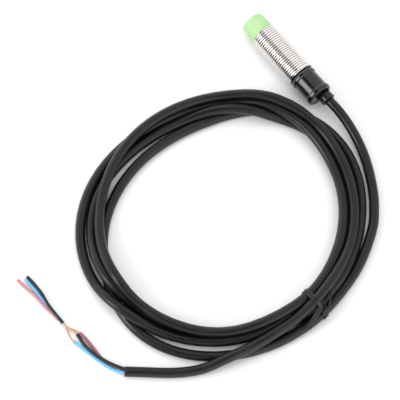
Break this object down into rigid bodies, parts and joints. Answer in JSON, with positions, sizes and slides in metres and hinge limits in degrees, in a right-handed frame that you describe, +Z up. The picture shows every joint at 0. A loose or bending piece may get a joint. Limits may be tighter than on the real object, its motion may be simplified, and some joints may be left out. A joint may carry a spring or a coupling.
{
  "type": "inductive proximity sensor",
  "caption": "Cylindrical threaded proximity sensor with a projecting green sensing cap, a black rear housing and a moulded cable lying in a tied coil with bared cores.",
  "frame": {"origin": "on the resting surface, under the middle of the sensor from its sensing face to the end of its cable bush", "axes": "+X along the sensor towards its sensing face, +Z up from the surface that it lies on"},
  "size_m": [0.1196, 0.1507, 0.0119],
  "materials": {
    "cap_plastic": "matt pale green",
    "nickel": "nickel plated, bright",
    "black_plastic": "gloss black",
    "smoked_lens": "smoked, translucent",
    "seal_rubber": "black, matt",
    "ferrite": "dark grey, matt",
    "bobbin_plastic": "natural",
    "winding_copper": "enamelled copper wire",
    "board": "green lacquered laminate",
    "chip": "black moulded",
    "ceramic_part": "tan, matt",
    "led_body": "pale moulded",
    "ferrule": "plain",
    "jacket": "black PVC, satin",
    "tie": "black, satin",
    "core_blue": "light blue PVC",
    "core_black": "black PVC",
    "core_brown": "brown PVC",
    "sleeve_pink": "faded brown-pink PVC",
    "strand_copper": "bright copper strand"
  },
  "bodies": {
    "root": {"sensing_cap": "cap_plastic", "ferrite_core": "ferrite", "coil_bobbin": "bobbin_plastic", "sense_winding": "winding_copper", "threaded_barrel": "nickel", "rear_housing": "black_plastic", "housing_seal": "seal_rubber", "cable_bush": "black_plastic", "indicator_window": "smoked_lens", "clamp_ferrule": "ferrule", "cable_inner_end": "jacket", "circuit_board": "board", "oscillator_ic": "chip", "tuning_capacitor": "ceramic_part", "filter_capacitor": "ceramic_part", "trim_resistor": "chip", "output_transistor": "chip", "load_resistor": "chip", "surge_suppressor": "chip", "indicator_led": "led_body", "inner_lead_black": "core_black", "inner_lead_blue": "core_blue", "inner_lead_brown": "core_brown", "cable_lead": "jacket", "cable_coil": "jacket", "cable_tail": "jacket", "twist_tie": "tie", "wire_blue": "core_blue", "wire_black": "core_black", "wire_brown": "core_brown", "conductor_blue": "strand_copper", "conductor_black": "strand_copper", "conductor_brown": "strand_copper", "sleeve_blue": "core_blue", "sleeve_black": "core_black", "sleeve_brown": "sleeve_pink"}
  },
  "joints": []
}
